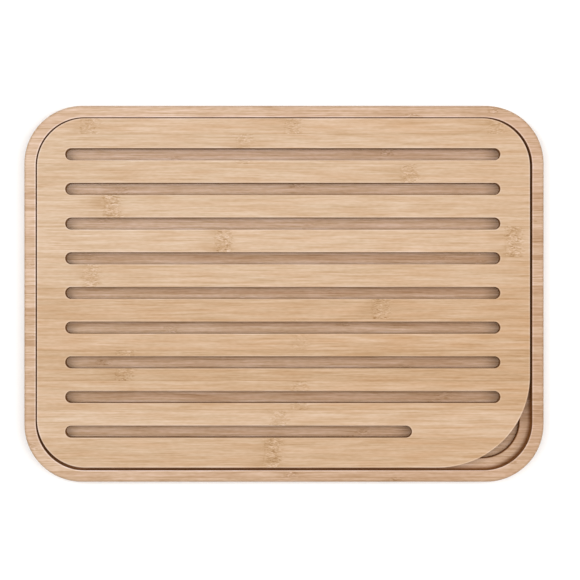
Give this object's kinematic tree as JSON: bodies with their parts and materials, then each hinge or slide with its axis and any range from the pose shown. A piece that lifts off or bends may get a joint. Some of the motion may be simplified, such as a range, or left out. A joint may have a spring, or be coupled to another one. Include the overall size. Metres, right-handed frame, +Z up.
{
  "type": "bread board",
  "caption": "Round-cornered bamboo bread board: a shallow crumb tray, and a slotted cutting grid that lies in it and lifts out by a cut-back corner.",
  "frame": {"origin": "on the table, under the middle of the crumb tray", "axes": "+X along the board and its slots, to the right as the cut-back corner lies front right; +Y to the back; +Z up"},
  "size_m": [0.38, 0.275, 0.02],
  "materials": {
    "tray_bamboo": "oiled bamboo, satin, fine grain along the board",
    "grid_bamboo": "oiled bamboo, satin, fine grain along the board"
  },
  "bodies": {
    "tray": {"crumb_tray": "tray_bamboo"},
    "grid": {"slotted_grid": "grid_bamboo"}
  },
  "joints": [
    {"name": "grid_lift", "type": "slide", "parent": "tray", "child": "grid", "axis": [0, 0, 1], "range_m": [0, 0.05]}
  ]
}
